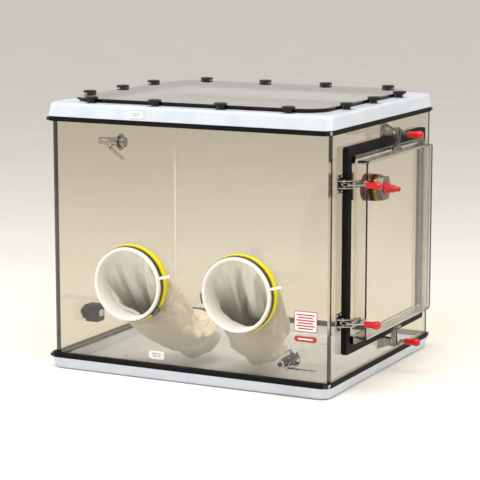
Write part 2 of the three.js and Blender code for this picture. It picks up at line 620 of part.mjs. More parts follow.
// A ball valve in its own frame: z out of the wall, x along the lever, the stem along y.
function valveBody(stemSide) {
  const nutFace = -chamber.wall - GAP;
  const core = turned([[0, nutFace - valve.nutHeight], [valve.nut, nutFace - valve.nutHeight], [valve.nut, nutFace],
    [valve.bore, nutFace], [valve.bore, GAP], [valve.rosette, GAP], [valve.rosette - 2, 4], [valve.body, 5],
    [valve.body, 14 + valve.bodyLength], [valve.end, 16 + valve.bodyLength], [valve.end, valve.length],
    [7, valve.length], [7, valve.length - 12], [0, valve.length - 12]], 24);
  const hexNut = rod(valve.hex, 4, 4 + valve.hexHeight, 6);
  const stem = rod(valve.stem, 0, valve.leverDrop - GAP, 14).rotateX(-stemSide * Math.PI / 2);
  return join(core, hexNut, stem.translate(0, 0, valve.stemAt));
}
function valveLever(stemSide) {
  const outline = strip([0, 0], [valve.lever - valve.leverWidth / 2, 0], valve.leverWidth / 2);
  const low = stemSide > 0 ? valve.leverDrop : -valve.leverDrop - valve.leverSheet;
  const nut = rod(4.5, 0, 4, 6).rotateX(-stemSide * Math.PI / 2);
  nut.translate(0, stemSide * (valve.leverDrop + valve.leverSheet - 0.5), 0);
  return join(sideView(outline, low, low + valve.leverSheet), nut).translate(0, 0, valve.stemAt);
}
function addValve(name, out, lever, stemSide, position) {
  const group = new THREE.Group();
  group.quaternion.setFromRotationMatrix(new THREE.Matrix4().makeBasis(
    lever, new THREE.Vector3().crossVectors(out, lever), out));
  group.position.copy(position);
  addPart(`${name}_valve_body`, valveBody(stemSide), steel, group);
  addPart(`${name}_valve_lever`, valveLever(stemSide), steel, group);
  gloveBox.add(group);
}
addValve('front', Y.clone().negate(), X, -1, new THREE.Vector3(frontValveX, wallFront, frontValveZ));
const tilt = THREE.MathUtils.degToRad(sideValve.leverTilt);
addValve('side', X.clone().negate(), new THREE.Vector3(0, Math.cos(tilt), -Math.sin(tilt)), 1,
  new THREE.Vector3(wallLeft, sideValve.y, sideValveZ));

// ---------------------------------------------------------------- power outlet

// A moulded outlet box on the inside of the left wall, with its cable gland outside.
function powerOutlet() {
  const face = chamber.wall + GAP;
  const box = loft([upright(outlet.width, outlet.height, 5, face),
    upright(outlet.width, outlet.height, 5, face + outlet.depth - 4),
    upright(outlet.width - 6, outlet.height - 6, 4, face + outlet.depth)]);
  const gland = alongX([[0, -outlet.glandReach], [9, -outlet.glandReach], [11, -8], [outlet.gland + 6, -8],
    [outlet.gland + 6, -GAP], [outlet.gland, -GAP], [outlet.gland, face + 2], [0, face + 2]], 20);
  const socket = alongX([[0, face + outlet.depth - 6], [11, face + outlet.depth - 6], [11, face + outlet.depth + 1],
    [0, face + outlet.depth + 1]], 20);
  return cut(join(box, gland), socket);
}
addPart('power_outlet', powerOutlet(), blackPlastic).position.set(wallLeft, outletY, outletZ);

export default gloveBox;
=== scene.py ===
import json
import math

import bmesh
import bpy
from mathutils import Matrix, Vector


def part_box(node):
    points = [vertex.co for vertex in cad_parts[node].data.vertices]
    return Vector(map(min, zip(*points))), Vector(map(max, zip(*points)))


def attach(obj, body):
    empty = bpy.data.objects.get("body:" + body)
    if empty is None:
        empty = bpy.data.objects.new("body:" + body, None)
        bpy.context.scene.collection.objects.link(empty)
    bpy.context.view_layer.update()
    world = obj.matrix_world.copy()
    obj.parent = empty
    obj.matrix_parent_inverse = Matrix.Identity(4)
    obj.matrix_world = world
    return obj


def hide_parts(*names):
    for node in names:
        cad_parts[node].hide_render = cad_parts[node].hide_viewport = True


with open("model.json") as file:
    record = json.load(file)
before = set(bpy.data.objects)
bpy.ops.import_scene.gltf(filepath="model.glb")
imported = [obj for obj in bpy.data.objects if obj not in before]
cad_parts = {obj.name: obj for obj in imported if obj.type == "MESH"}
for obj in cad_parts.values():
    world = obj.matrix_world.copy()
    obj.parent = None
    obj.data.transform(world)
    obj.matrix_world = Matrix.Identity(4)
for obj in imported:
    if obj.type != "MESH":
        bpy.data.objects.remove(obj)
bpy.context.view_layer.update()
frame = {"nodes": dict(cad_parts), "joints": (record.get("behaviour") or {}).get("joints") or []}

scene = bpy.context.scene
nodes = frame["nodes"]

# ------------------------------------------------------------------------------------------------
# Camera. It stands to the right of the object's front, at about eye level, with a long lens so
# that the upright edges stay nearly parallel.

eye = Vector((2.2757, -4.5416, 1.2011))
heading, dip = math.radians(-26.745), math.radians(-9.789)
sight = Vector((math.sin(heading) * math.cos(dip), math.cos(heading) * math.cos(dip), math.sin(dip)))
camera_data = bpy.data.cameras.new("camera")
camera_data.lens = 142.06
camera_data.sensor_width = 36
camera = bpy.data.objects.new("camera", camera_data)
camera.location = eye
camera.rotation_euler = sight.to_track_quat("-Z", "Y").to_euler()
scene.collection.objects.link(camera)
scene.camera = camera

# ------------------------------------------------------------------------------------------------
# Studio. A pale matt floor that runs out to the horizon, a bright even surround, one large soft
# light above and in front, and a weaker one from the left.

MM = 0.001


def linear(hex_colour):
    """An sRGB hex colour as linear RGBA."""
    channels = [int(hex_colour[i:i + 2], 16) / 255 for i in (0, 2, 4)]
    return tuple(c / 12.92 if c <= 0.04045 else ((c + 0.055) / 1.055) ** 2.4 for c in channels) + (1.0,)


def add(tree, kind, inputs=None, **settings):
    """Adds a node: settings are its own properties, inputs are values or sockets to link from."""
    made = tree.nodes.new(kind)
    for key, value in settings.items():
        setattr(made, key, value)
    for key, value in (inputs or {}).items():
        if isinstance(value, bpy.types.NodeSocket):
            tree.links.new(value, made.inputs[key])
        else:
            made.inputs[key].default_value = value
    return made


def new_material(name):
    """An empty node material and its tree."""
    material = bpy.data.materials.new(name)
    material.use_nodes = True
    material.node_tree.nodes.clear()
    return material, material.node_tree


def grained(name, colours, grain_mm, roughness, depth_mm, detail=3.0, stretch=(1, 1, 1), **more):
    """A whole material whose colour, roughness and relief all follow one grain of a real size."""
    material, tree = new_material(name)
    place = add(tree, "ShaderNodeTexCoord")
    scaled = add(tree, "ShaderNodeMapping", {"Vector": place.outputs["Object"], "Scale": stretch})
    noise = add(tree, "ShaderNodeTexNoise", {
        "Vector": scaled.outputs[0], "Scale": 1 / (grain_mm * MM), "Detail": detail})
    ramp = add(tree, "ShaderNodeValToRGB", {"Fac": noise.outputs["Fac"]})
    for stop, position, colour in zip(ramp.color_ramp.elements, (0.3, 0.7), colours):
        stop.position = position
        stop.color = linear(colour)
    dullness = add(tree, "ShaderNodeMapRange", {
        "Value": noise.outputs["Fac"], "To Min": roughness[0], "To Max": roughness[1]})
    relief = add(tree, "ShaderNodeBump", {"Height": noise.outputs["Fac"], "Distance": depth_mm * MM})
    shader = add(tree, "ShaderNodeBsdfPrincipled", {
        "Base Color": ramp.outputs["Color"], "Roughness": dullness.outputs[0], "Normal": relief.outputs[0],
        **{key.replace("_", " "): value for key, value in more.items()}})
    add(tree, "ShaderNodeOutputMaterial", {"Surface": shader.outputs[0]})
    return material


def studio_paper():
    """Matt white background paper: no gloss, hardly any mottling."""
    return grained("studio_paper", ("F1EEE8", "F4F2EC"), 400, (0.88, 0.92), 0, Specular_IOR_Level=0.1)


floor_mesh = bpy.data.meshes.new("floor")
floor_mesh.from_pydata([(-60, -60, 0), (60, -60, 0), (60, 60, 0), (-60, 60, 0)], [], [(0, 1, 2, 3)])
floor_mesh.materials.append(studio_paper())
floor = bpy.data.objects.new("floor", floor_mesh)
floor.location.z = -0.0005
scene.collection.objects.link(floor)


def soft_light(name, place, target, size, watts, colour):
    data = bpy.data.lights.new(name, "AREA")
    data.shape = "RECTANGLE"
    data.size, data.size_y = size
    data.energy = watts
    data.color = linear(colour)[:3]
    light = bpy.data.objects.new(name, data)
    light.location = place
    light.rotation_euler = (Vector(target) - Vector(place)).to_track_quat("-Z", "Y").to_euler()
    scene.collection.objects.link(light)


soft_light("overhead_softbox", (0.6, -1.6, 3.4), (0, 0, 0.4), (2.6, 2.0), 95, "FFFFFF")
soft_light("left_softbox", (-3.0, -1.8, 1.6), (0, 0, 0.4), (1.6, 2.2), 42, "F4F8FF")
soft_light("right_softbox", (3.2, 0.4, 1.8), (0, 0, 0.4), (1.4, 2.2), 26, "FFF8EE")
world = bpy.data.worlds.new("surround")
world.use_nodes = True
world.node_tree.nodes.clear()
surround = add(world.node_tree, "ShaderNodeBackground", {"Color": linear("F6F4F0"), "Strength": 0.72})
add(world.node_tree, "ShaderNodeOutputWorld", {"Surface": surround.outputs[0]})
scene.world = world
scene.view_settings.view_transform = "Standard"

# ------------------------------------------------------------------------------------------------
# Tray and cover. Each is one sheet of thick glossy white ABS, vacuum formed over a mould, so its
# edges are rounded and its faces carry a faint ripple.


def dress(material, *names, bevel_mm=0.0, smooth=True):
    """Gives CAD nodes a material, and where smooth, merged shading and a worn edge of a real radius."""
    for name in names:
        part = nodes[name]
        part.data.materials.clear()
        part.data.materials.append(material)
        part.data.polygons.foreach_set("use_smooth", [smooth] * len(part.data.polygons))
        part.data.polygons.foreach_set("material_index", [0] * len(part.data.polygons))
        if not smooth:
            continue
        weld = part.modifiers.new("weld", "WELD")
        weld.merge_threshold = 0.01 * MM
        if bevel_mm:
            bevel = part.modifiers.new("edge", "BEVEL")
            bevel.width = bevel_mm * MM
            bevel.segments = 2
            bevel.limit_method = "ANGLE"
            bevel.angle_limit = math.radians(40)
        part.modifiers.new("shading", "WEIGHTED_NORMAL").keep_sharp = True


def formed_abs():
    """Vacuum-formed gloss ABS: cool white, a soft sheen, and a slow ripple from the mould."""
    return grained("formed_white_abs", ("C6CCD6", "D0D5DD"), 60, (0.24, 0.36), 0.6, detail=2, IOR=1.53)


dress(formed_abs(), "base_tray", "top_cover", bevel_mm=1.5)

# ------------------------------------------------------------------------------------------------
# Chamber walls, flanges and hatch panel. Cast acrylic sheet, polished clear, with a light warm
# tint that builds up where several sheets stand behind each other.


def cast_acrylic():
    """Cast acrylic: IOR 1.49, polished, with faint handling marks; lamps shine through it."""
    material, tree = new_material("cast_acrylic")
    place = add(tree, "ShaderNodeTexCoord")
    marks = add(tree, "ShaderNodeTexNoise", {"Vector": place.outputs["Object"], "Scale": 22.0, "Detail": 5.0})
    dullness = add(tree, "ShaderNodeMapRange", {"Value": marks.outputs["Fac"], "To Min": 0.0, "To Max": 0.05})
    sheet = add(tree, "ShaderNodeBsdfPrincipled", {
        "Base Color": linear("EFEAE0"), "IOR": 1.49, "Transmission Weight": 1.0,
        "Roughness": dullness.outputs[0]})
    clear = add(tree, "ShaderNodeBsdfTransparent", {"Color": linear("F6F2E8")})
    path = add(tree, "ShaderNodeLightPath")
    mixed = add(tree, "ShaderNodeMixShader",
                {0: path.outputs["Is Shadow Ray"], 1: sheet.outputs[0], 2: clear.outputs[0]})
    add(tree, "ShaderNodeOutputMaterial", {"Surface": mixed.outputs[0]})
    return material


acrylic = cast_acrylic()
dress(acrylic, "front_panel", "back_panel", "left_panel", "right_panel", "base_flange", "top_flange",
      "door_shell", "hatch_panel", smooth=False)

# ------------------------------------------------------------------------------------------------
# Seals and door frame. Extruded black neoprene: dull, with fine lines along the extrusion.


def neoprene():
    """Closed-cell neoprene: near black, dull, fine moulded grain."""
    return grained("black_neoprene", ("020202", "070707"), 1.6, (0.5, 0.68), 0.12, IOR=1.52,
                   Specular_IOR_Level=0.15)


rubber = neoprene()
dress(rubber, "base_seal", "top_seal", "hatch_trim", "door_frame", bevel_mm=0.8)

# ------------------------------------------------------------------------------------------------
# Hatch knobs. Black moulded phenolic heads on plated studs; a steel washer sits under each one.


def phenolic():
    """Moulded phenolic: black, semi-gloss, slightly uneven."""
    return grained("black_phenolic", ("040405", "0B0B0C"), 2.5, (0.35, 0.5), 0.05, IOR=1.6,
                   Specular_IOR_Level=0.3)


knobs = [f"hatch_knob_{number:02d}" for number in range(1, 15)]
moulded_black = phenolic()
dress(moulded_black, *knobs, bevel_mm=0.7)


def zinc_plate():
    """Zinc-plated steel: bright, slightly yellow-grey, streaked by rolling."""
    return grained("bright_zinc_plate", ("8F8D88", "C9C7C1"), 1.5, (0.16, 0.32), 0.02, detail=5,
                   stretch=(1, 1, 0.15), Metallic=1.0)


zinc = zinc_plate()


def fixing_tree():
    """Geometry Nodes: a domed round or many-sided head on every point, facing the point's 'out'."""
    tree = bpy.data.node_groups.new("fixings", "GeometryNodeTree")
    tree.interface.new_socket("Points", in_out="INPUT", socket_type="NodeSocketGeometry")
    for name, kind in (("Radius", "NodeSocketFloat"), ("Height", "NodeSocketFloat"),
                       ("Sides", "NodeSocketInt"), ("Taper", "NodeSocketFloat"),
                       ("Finish", "NodeSocketMaterial")):
        tree.interface.new_socket(name, in_out="INPUT", socket_type=kind)
    tree.interface.new_socket("Fixings", in_out="OUTPUT", socket_type="NodeSocketGeometry")
    given = add(tree, "NodeGroupInput").outputs
    top = add(tree, "ShaderNodeMath", {0: given["Radius"], 1: given["Taper"]}, operation="MULTIPLY")
    head = add(tree, "GeometryNodeMeshCone", {
        "Vertices": given["Sides"], "Side Segments": 1, "Radius Top": top.outputs[0],
        "Radius Bottom": given["Radius"], "Depth": given["Height"]})
    out = add(tree, "GeometryNodeInputNamedAttribute", {"Name": "out"}, data_type="FLOAT_VECTOR")
    turn = add(tree, "FunctionNodeAlignRotationToVector", {"Vector": out.outputs[0]}, axis="Z")
    placed = add(tree, "GeometryNodeInstanceOnPoints", {
        "Points": given["Points"], "Instance": head.outputs["Mesh"], "Rotation": turn.outputs[0]})
    real = add(tree, "GeometryNodeRealizeInstances", {0: placed.outputs[0]})
    coloured = add(tree, "GeometryNodeSetMaterial", {
        "Geometry": real.outputs[0], "Material": given["Finish"]})
    add(tree, "NodeGroupOutput", {0: coloured.outputs[0]})
    return tree


fixings = fixing_tree()


def plain_copy(source, name):
    """Bakes an object's modifiers into a plain mesh object and removes the source."""
    bpy.context.view_layer.update()
    mesh = bpy.data.meshes.new_from_object(source.evaluated_get(bpy.context.evaluated_depsgraph_get()))
    mesh.name = name
    bpy.data.objects.remove(source)
    made = bpy.data.objects.new(name, mesh)
    scene.collection.objects.link(made)
    return made


def fasten(name, body, places, radius, height, material, sides=20, taper=0.8):
    """Fixings of one kind at places, each a (point, outward direction), as one piece on a body."""
    mesh = bpy.data.meshes.new(name)
    mesh.from_pydata([tuple(point) for point, _ in places], [], [])
    outward = mesh.attributes.new("out", "FLOAT_VECTOR", "POINT")
    for i, (_, direction) in enumerate(places):
        outward.data[i].vector = direction
    holder = bpy.data.objects.new(name + "_points", mesh)
    scene.collection.objects.link(holder)
    modifier = holder.modifiers.new("fixings", "NODES")
    modifier.node_group = fixings
    wanted = {"Radius": radius * MM, "Height": height * MM, "Sides": sides, "Taper": taper,
              "Finish": material}
    for socket in fixings.interface.items_tree:
        if socket.in_out == "INPUT" and socket.name in wanted:
            modifier[socket.identifier] = wanted[socket.name]
    made = plain_copy(holder, name)
    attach(made, body)
    return made


def middle(name):
    low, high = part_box(name)
    return (low + high) / 2


UP = Vector((0, 0, 1))
OUT_RIGHT = Vector((1, 0, 0))
knob_seats = [(Vector((*middle(knob).xy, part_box(knob)[0].z - 0.25 * MM)), UP) for knob in knobs]
fasten("knob_washers", "chamber", knob_seats, 11.5, 0.5, zinc, sides=28, taper=0.97)

# ------------------------------------------------------------------------------------------------
# Glove ports. A bright yellow moulded ring is set in the front wall; its collar shows behind the
# gauntlet's folded cuff.


def yellow_pvc():
    """Injection-moulded PVC: saturated yellow, semi-gloss."""
    return grained("yellow_moulded_pvc", ("F0DC00", "F8EA06"), 4, (0.28, 0.4), 0.03, IOR=1.53)


dress(yellow_pvc(), "port_ring_left", "port_ring_right", bevel_mm=0.8)

# ------------------------------------------------------------------------------------------------
# Gauntlets. Each is one sleeve of soft cream Hypalon sheet, 2 mm thick. Its cuff folds back over
# the port ring, and its far end rests low over the tray; the sleeve between them sags and creases.


def hypalon():
    """Hypalon sheet: warm cream, dull with a faint bloom, pebbled by its fabric backing."""
    return grained("cream_hypalon", ("E0DBD0", "EFEBE2"), 3, (0.55, 0.72), 0.12, IOR=1.5, Sheen_Weight=0.15,
                   Sheen_Roughness=0.5)


cream = hypalon()
tray_floor = 5 * MM
around, sheet, liner = 72, 2.0, 89.2 * MM
resting_rows = 9


def sleeve_rows(port, drift):
    """Rows of points from the cuff's free edge, round the ring's front rim, and down the sleeve."""
    low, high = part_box(port)
    centre = (low + high) / 2
    outer, bore = 96.4 * MM, liner
    front, free_edge, inside = low.y - 1.4 * MM, low.y + 18 * MM, high.y
    rows = [(Vector((centre.x, y, centre.z)), outer, Vector((0, 1, 0)))
            for y in (free_edge, free_edge - 9 * MM, front + 5 * MM)]
    fold = (outer - bore) / 2
    for step in range(1, 6):
        angle = math.pi * step / 6
        rows.append((Vector((centre.x, front + fold - fold * math.sin(angle), centre.z)),
                     bore + fold + fold * math.cos(angle), Vector((0, 1, 0))))
    rows += [(Vector((centre.x, front + fold + share * (inside - front - fold), centre.z)), bore,
              Vector((0, 1, 0))) for share in (0.0, 0.2, 0.4, 0.6, 0.8, 1.0)]
    pinned = len(rows)
    start = Vector((centre.x, inside, centre.z))
    end = Vector((centre.x + drift, inside + 0.235, tray_floor + 0.040))
    pull = [start, start + Vector((0, 0.10, -0.03)), end + Vector((-0.3 * drift, -0.11, 0.09)), end]
    count = 54
    for step in range(1, count + 1):
        t = step / count
        a, b, c, d = (1 - t) ** 3, 3 * t * (1 - t) ** 2, 3 * t * t * (1 - t), t ** 3
        place = a * pull[0] + b * pull[1] + c * pull[2] + d * pull[3]
        heading = (3 * (1 - t) ** 2 * (pull[1] - pull[0]) + 6 * t * (1 - t) * (pull[2] - pull[1])
                   + 3 * t * t * (pull[3] - pull[2])).normalized()
        width = bore * (1 - 0.3 * t ** 1.5)
        if t > 0.9:
            width *= math.sqrt(max(0.0, 1 - ((t - 0.9) / 0.1) ** 2)) * 0.94 + 0.06
        rows.append((place, width, heading))
    return rows, pinned


def sleeve_mesh(name, port, drift):
    rows, pinned = sleeve_rows(port, drift)
    mesh = bmesh.new()
    rings = []
    for number, (place, width, heading) in enumerate(rows):
        side = Vector((1, 0, 0))
        side = (side - heading * side.dot(heading)).normalized()
        over = side.cross(heading)
        ring = []
        for k in range(around):
            angle = 2 * math.pi * k / around
            slack = 1.0
            if number > pinned:
                depth = min(1.0, (number - pinned) / 14)
                slack -= depth * (0.07 + 0.07 * math.sin(4 * angle + 0.09 * number)
                                  + 0.035 * math.sin(7 * angle - 0.13 * number))
            spoke = math.cos(angle) * side + math.sin(angle) * over
            ring.append(mesh.verts.new(place + width * slack * spoke))
        rings.append(ring)
    for near, far in zip(rings, rings[1:]):
        for k in range(around):
            j = (k + 1) % around
            mesh.faces.new((near[k], near[j], far[j], far[k]))
    mesh.faces.new(rings[-1])
    bmesh.ops.recalc_face_normals(mesh, faces=mesh.faces)
    data = bpy.data.meshes.new(name)
    mesh.to_mesh(data)
    mesh.free()
    made = bpy.data.objects.new(name, data)
    scene.collection.objects.link(made)
    return made, pinned


def blocker(name, corners):
    """A flat thing that the sleeves fall against while they settle; it is removed afterwards."""
    mesh = bpy.data.meshes.new(name)
    mesh.from_pydata(corners, [], [(0, 1, 2, 3)])
    made = bpy.data.objects.new(name, mesh)
    scene.collection.objects.link(made)
    made.modifiers.new("collision", "COLLISION")
    made.collision.thickness_outer = 0.003
    made.collision.cloth_friction = 12
    return made


def settle(sleeve, pinned):
    """Lets the sleeve sag and crease with Blender's cloth, held at the ring and at its resting end."""
    held = sleeve.vertex_groups.new(name="held")
    held.add(list(range(around * pinned)), 1.0, "REPLACE")
    last = len(sleeve.data.vertices)
    held.add(list(range(last - around * resting_rows, last)), 1.0, "REPLACE")
    cloth = sleeve.modifiers.new("cloth", "CLOTH")
    cloth.settings.quality = 6
    cloth.settings.mass = 0.35
    cloth.settings.tension_stiffness = 25
    cloth.settings.compression_stiffness = 25
    cloth.settings.shear_stiffness = 12
    cloth.settings.bending_stiffness = 0.3
    cloth.settings.shrink_min = -0.13
    cloth.settings.tension_damping = 8
    cloth.settings.compression_damping = 8
    cloth.settings.shear_damping = 8
    cloth.settings.air_damping = 2
    cloth.settings.vertex_group_mass = "held"
    cloth.collision_settings.distance_min = 0.003
    cloth.collision_settings.use_self_collision = True
    cloth.collision_settings.self_distance_min = 0.003
    cloth.collision_settings.self_friction = 8
    cloth.point_cache.frame_start = 1
    cloth.point_cache.frame_end = 30
    for step in range(1, 31):
        scene.frame_set(step)
    settled = plain_copy(sleeve, sleeve.name + "_settled")
    scene.frame_set(1)
    return settled


def gauntlet(side, drift):
    sleeve, pinned = sleeve_mesh(f"gauntlet_sleeve_{side}", f"port_ring_{side}", drift)
    sleeve = settle(sleeve, pinned)
    sleeve.name = f"soft_gauntlet_{side}"
    sleeve.vertex_groups.clear()
    sleeve.data.materials.append(cream)
    for face in sleeve.data.polygons:
        face.use_smooth = True
    wall = sleeve.modifiers.new("wall", "SOLIDIFY")
    wall.thickness = sheet * MM
    wall.offset = 0
    round_off = sleeve.modifiers.new("round", "SUBSURF")
    round_off.levels = round_off.render_levels = 1
    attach(sleeve, "chamber")
    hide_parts(f"gauntlet_{side}")
    return sleeve


blockers = []
blockers.append(blocker("settling_floor", [(-0.5, -0.4, tray_floor), (0.5, -0.4, tray_floor),
                                           (0.5, 0.4, tray_floor), (-0.5, 0.4, tray_floor)]))
inner_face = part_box("port_ring_left")[1].y - 0.002
blockers.append(blocker("settling_wall", [(-0.5, inner_face, 0), (-0.5, inner_face, 0.155),
                                          (0.5, inner_face, 0.155), (0.5, inner_face, 0)]))
gauntlet("left", 0.085)
gauntlet("right", -0.05)
for made in blockers:
    bpy.data.objects.remove(made)


# ------------------------------------------------------------------------------------------------
# Band clamps. A slotted stainless strap draws each cuff tight on its ring; the slots are pressed
# in by rolling, and a worm screw in the housing pulls the strap round. The slots themselves are
# drawn as small black studs: painted shade for their dark recesses.


def slotted_strap():
    """Cold-rolled stainless strap: grey, brushed along its length."""
    return grained("rolled_stainless_strap", ("55524D", "8B8781"), 1.2, (0.26, 0.42), 0.04, detail=4,
                   stretch=(1, 0.2, 1), Metallic=1.0)


strap_steel = slotted_strap()
dress(strap_steel, "band_clamp_left", "band_clamp_right", bevel_mm=0.3)
for side in ("left", "right"):
    ring_low, ring_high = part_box(f"port_ring_{side}")
    strap_low, strap_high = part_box(f"band_clamp_{side}")
    hub = (ring_low + ring_high) / 2
    strap_radius = strap_high.x - hub.x if side == "left" else hub.x - strap_low.x
    strap_radius = min(strap_radius, (strap_high.z - strap_low.z) / 2)
    slot_shades = []
    for step in range(96):
        turn = 2 * math.pi * step / 96
        out = Vector((math.cos(turn), 0, math.sin(turn)))
        slot_shades.append((Vector((hub.x, (strap_low.y + strap_high.y) / 2, hub.z)) + out * strap_radius, out))
    # Black studs in the phenolic finish: painted shade where each slot's recess lies in shadow.
    fasten(f"band_slots_{side}", "chamber", slot_shades, 1.6, 0.5, moulded_black, sides=4, taper=0.9)

# ------------------------------------------------------------------------------------------------
# Toggle clamps. Each is pressed steel plate, zinc plated and riveted, with a dipped red grip. Four
# screws hold its foot, and two nuts lock its spindle, which ends in a rubber cap on the door edge.


def dipped_vinyl():
    """Dipped vinyl: bright red, wet-looking, very slightly uneven."""
    return grained("red_dipped_vinyl", ("B4060A", "CE0E12"), 6, (0.18, 0.3), 0.1, IOR=1.53)


def by_band(name, axis, bands):
    """Splits a node's faces between materials, by their place along an axis: (upper limit, material)."""
    part = nodes[name]
    part.data.materials.clear()
    for _, material in bands:
        part.data.materials.append(material)
    for face in part.data.polygons:
        face.use_smooth = True
        face.material_index = next(k for k, (limit, _) in enumerate(bands) if face.center[axis] <= limit)
    part.modifiers.new("weld", "WELD").merge_threshold = 0.01 * MM
    edge = part.modifiers.new("edge", "BEVEL")
    edge.width = 0.3 * MM
    edge.segments = 2
    edge.limit_method = "ANGLE"
    edge.angle_limit = math.radians(40)
    part.modifiers.new("shading", "WEIGHTED_NORMAL").keep_sharp = True


red_vinyl = dipped_vinyl()
pivots = {joint["name"]: Vector(joint["pos_m"]) for joint in frame["joints"]}
clamp_runs = {"front_upper": Vector((0, 1, 0)), "front_lower": Vector((0, 1, 0)),
              "top": Vector((0, 0, -1)), "bottom": Vector((0, 0, 1))}
for place, along in clamp_runs.items():
    across = OUT_RIGHT.cross(along)
    base, arm, handle = (f"clamp_{place}_{part}" for part in ("base", "arm", "handle"))
    dress(zinc, base, arm, f"clamp_{place}_link", bevel_mm=0.35)
    far_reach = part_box(handle)[1].x
    by_band(handle, 0, [(far_reach - 42 * MM, zinc), (10.0, red_vinyl)])
    foot = middle(base)
    foot.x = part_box(base)[0].x + 2.4 * MM
    corners = [(foot + along * (11.5 * a * MM) + across * (18 * b * MM), OUT_RIGHT)
               for a in (-1, 1) for b in (-1, 1)]
    fasten(f"{base}_screws", "chamber", corners, 3.6, 2.2, zinc, sides=24, taper=0.62)
    rivets = []
    for joint in (f"clamp_{place}_arm_pivot", f"clamp_{place}_link_pivot"):
        for end in (-1, 1):
            rivets.append((pivots[joint] + across * (end * 10.4 * MM), across * end))
    fasten(f"{base}_rivets", "chamber", rivets, 3.5, 1.4, zinc, sides=20, taper=0.55)
    arm_low, arm_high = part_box(arm)
    spindle = middle(arm)
    spindle += along * ((arm_high - arm_low).dot(Vector(map(abs, along))) / 2 - 5.0 * MM)
    spindle.x = arm_high.x
    nuts = [(spindle - OUT_RIGHT * (depth * MM), OUT_RIGHT) for depth in (8.0, 4.6)]
    fasten(f"{arm}_nuts", f"clamp_{place}_arm", nuts, 5.4, 2.9, zinc, sides=6, taper=0.94)
    fasten(f"{arm}_rubber_tip", f"clamp_{place}_arm",
           [(Vector((arm_low.x + 2.6 * MM, spindle.y, spindle.z)), OUT_RIGHT)], 5.6, 5.0,
           moulded_black, sides=28, taper=0.86)

# ------------------------------------------------------------------------------------------------
# Hinge. A mill-finish aluminium piano hinge, pinned with steel; small countersunk screws fix one
# leaf to the frame and the other to the door.


def mill_aluminium():
    """Mill-finish aluminium: pale grey, drawn along the hinge's length."""
    return grained("mill_aluminium", ("9C9C9B", "C3C3C1"), 2, (0.3, 0.44), 0.03, detail=4,
                   stretch=(1, 1, 0.1), Metallic=1.0)


dress(mill_aluminium(), "hinge_frame_leaf", "hinge_door_leaf", bevel_mm=0.2)
dress(zinc, "hinge_pin")
for leaf, body, inset in (("hinge_frame_leaf", "chamber", 0.82), ("hinge_door_leaf", "door", 0.18)):
    low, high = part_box(leaf)
    face = high.x if leaf == "hinge_door_leaf" else low.x + 1.8 * MM
    holes = []
    for step in range(8):
        height = low.z + (high.z - low.z) * (step + 0.5) / 8
        holes.append((Vector((face, low.y + (high.y - low.y) * inset, height)), OUT_RIGHT))
    fasten(f"{leaf}_screws", body, holes, 3.1, 0.9, zinc, sides=20, taper=0.8)

# ------------------------------------------------------------------------------------------------
# Hose fitting. A turned brass bulkhead body clamps a maroon gasket and a dark backing ring on the
# door box, and a red moulded barb screws into its end.


def turned_brass():
    """Turned brass: warm yellow, tool marks round its axis."""
    return grained("turned_brass", ("9A7A3E", "C4A05A"), 1, (0.2, 0.34), 0.03, detail=4, stretch=(0.2, 1, 1),
                   Metallic=1.0)


def gasket_rubber():
    """Moulded rubber gasket: dull maroon, powdery."""
    return grained("maroon_gasket_rubber", ("45100F", "5C1917"), 2, (0.55, 0.72), 0.08, IOR=1.52)


def moulded_red():
    """Moulded nylon: opaque red, semi-gloss."""
    return grained("red_moulded_nylon", ("AE0A0C", "C41315"), 3, (0.3, 0.42), 0.04, IOR=1.53)


def machined_grey():
    """Machined steel hex: mid grey, satin."""
    return grained("machined_grey_steel", ("6B6A68", "8F8E8B"), 1, (0.3, 0.42), 0.02, Metallic=1.0)


brass = turned_brass()
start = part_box("hose_fitting")[0].x
by_band("hose_fitting", 0, [(start + 22 * MM, gasket_rubber()), (start + 34 * MM, rubber),
                            (start + 42 * MM, brass), (10.0, machined_grey())])
dress(moulded_red(), "hose_nozzle", bevel_mm=0.3)

# ------------------------------------------------------------------------------------------------
# Gas valves. Chromed brass ball valves, turned and threaded, each with a flat steel lever held to
# its stem by a nut.


def bright_chrome():
    """Chrome plate on turned brass: mirror-bright, faintly blue, a little dulled by handling."""
    return grained("bright_chrome", ("6E6D6B", "C6C5C2"), 5, (0.06, 0.16), 0.01, detail=5, Metallic=1.0)


chrome = bright_chrome()
dress(chrome, "front_valve_body", "front_valve_lever", "side_valve_body", "side_valve_lever", bevel_mm=0.4)
for valve, body, axis in (("front", "front_valve_lever", Vector((0, 0, -1))),
                          ("side", "side_valve_lever", Vector((0, 0.5, 0.866)))):
    seat = pivots[f"{valve}_valve_turn"]
    if valve == "front":
        face = Vector((seat.x, seat.y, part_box(body)[0].z))
    else:
        face = seat - axis * (18 * MM)
    fasten(f"{valve}_valve_nut", body, [(face, axis)], 5.2, 3.6, zinc, sides=6, taper=0.94)

# ------------------------------------------------------------------------------------------------
# Power inlet. A black moulded box is sealed into the left wall. Its face holds a pale socket plate
# with three pin slots, drawn as raised black blocks: painted shade for the dark holes. The cord is
# unplugged and away.


def block_outline(width, height, radius, steps=5):
    """Points round a rounded rectangle, anticlockwise."""
    points = []
    for quarter, (a, b) in enumerate(((1, 1), (-1, 1), (-1, -1), (1, -1))):
        for k in range(steps + 1):
            turn = math.pi / 2 * (quarter + k / steps)
            points.append((a * (width / 2 - radius) + radius * math.cos(turn),
                           b * (height / 2 - radius) + radius * math.sin(turn)))
    return points


